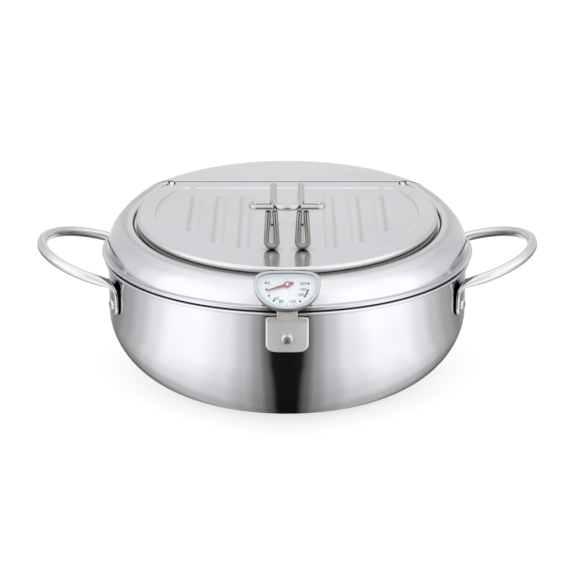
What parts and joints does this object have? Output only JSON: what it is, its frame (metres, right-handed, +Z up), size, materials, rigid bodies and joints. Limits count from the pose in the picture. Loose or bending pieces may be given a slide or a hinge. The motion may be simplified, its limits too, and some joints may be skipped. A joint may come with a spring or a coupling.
{
  "type": "deep-frying pot",
  "caption": "Stovetop deep-frying pot with loop handles, a domed lid ring, a hinged draining flap with a wire handle, and a dial thermometer on a bracket.",
  "frame": {"origin": "centre of the flat base, on the surface it stands on", "axes": "+Z up, -Y towards the thermometer side, +X along the line through both loop handles"},
  "size_m": [0.339, 0.2732, 0.1426],
  "materials": {
    "polished_steel": "mirror-polished stainless steel",
    "satin_steel": "satin stainless steel",
    "clear_glass": "clear",
    "dial_white": "satin white with plain printed scale",
    "pointer_red": "satin red",
    "bimetal": "plain metal"
  },
  "bodies": {
    "pot": {"pot_shell": "polished_steel", "handle_left": "polished_steel", "handle_right": "polished_steel", "rivet_left_front": "polished_steel", "rivet_left_rear": "polished_steel", "rivet_right_front": "polished_steel", "rivet_right_rear": "polished_steel", "gauge_bracket": "satin_steel", "bracket_screw": "polished_steel", "bracket_nut": "satin_steel", "sensor_strip": "satin_steel", "gauge_case": "satin_steel", "gauge_bezel": "polished_steel", "gauge_lens": "clear_glass", "dial_plate": "dial_white", "bimetal_coil": "bimetal"},
    "needle": {"pointer": "pointer_red", "pointer_arbor": "bimetal"},
    "lid": {"lid_ring": "polished_steel", "hinge_ear_left": "polished_steel", "hinge_ear_right": "polished_steel"},
    "flap": {"flap_plate": "polished_steel", "hinge_pin_left": "polished_steel", "hinge_pin_right": "polished_steel", "flap_grip": "polished_steel", "grip_wing_left": "polished_steel", "grip_wing_right": "polished_steel", "grip_leg_left": "polished_steel", "grip_leg_right": "polished_steel"}
  },
  "joints": [
    {"name": "lid_lift", "type": "slide", "parent": "pot", "child": "lid", "axis": [0, 0, 1], "range_m": [0, 0.15]},
    {"name": "flap_hinge", "type": "hinge", "parent": "lid", "child": "flap", "pos_m": [0, 0.05503, 0.1154], "axis": [-1, 0, 0], "range_deg": [0, 110]},
    {"name": "pointer_turn", "type": "hinge", "parent": "pot", "child": "needle", "pos_m": [0, -0.1377, 0.1106], "axis": [0, -0.788, 0.6157], "range_deg": [-23.75, 166.25], "stiffness_Nm_per_rad": 0.0002}
  ]
}
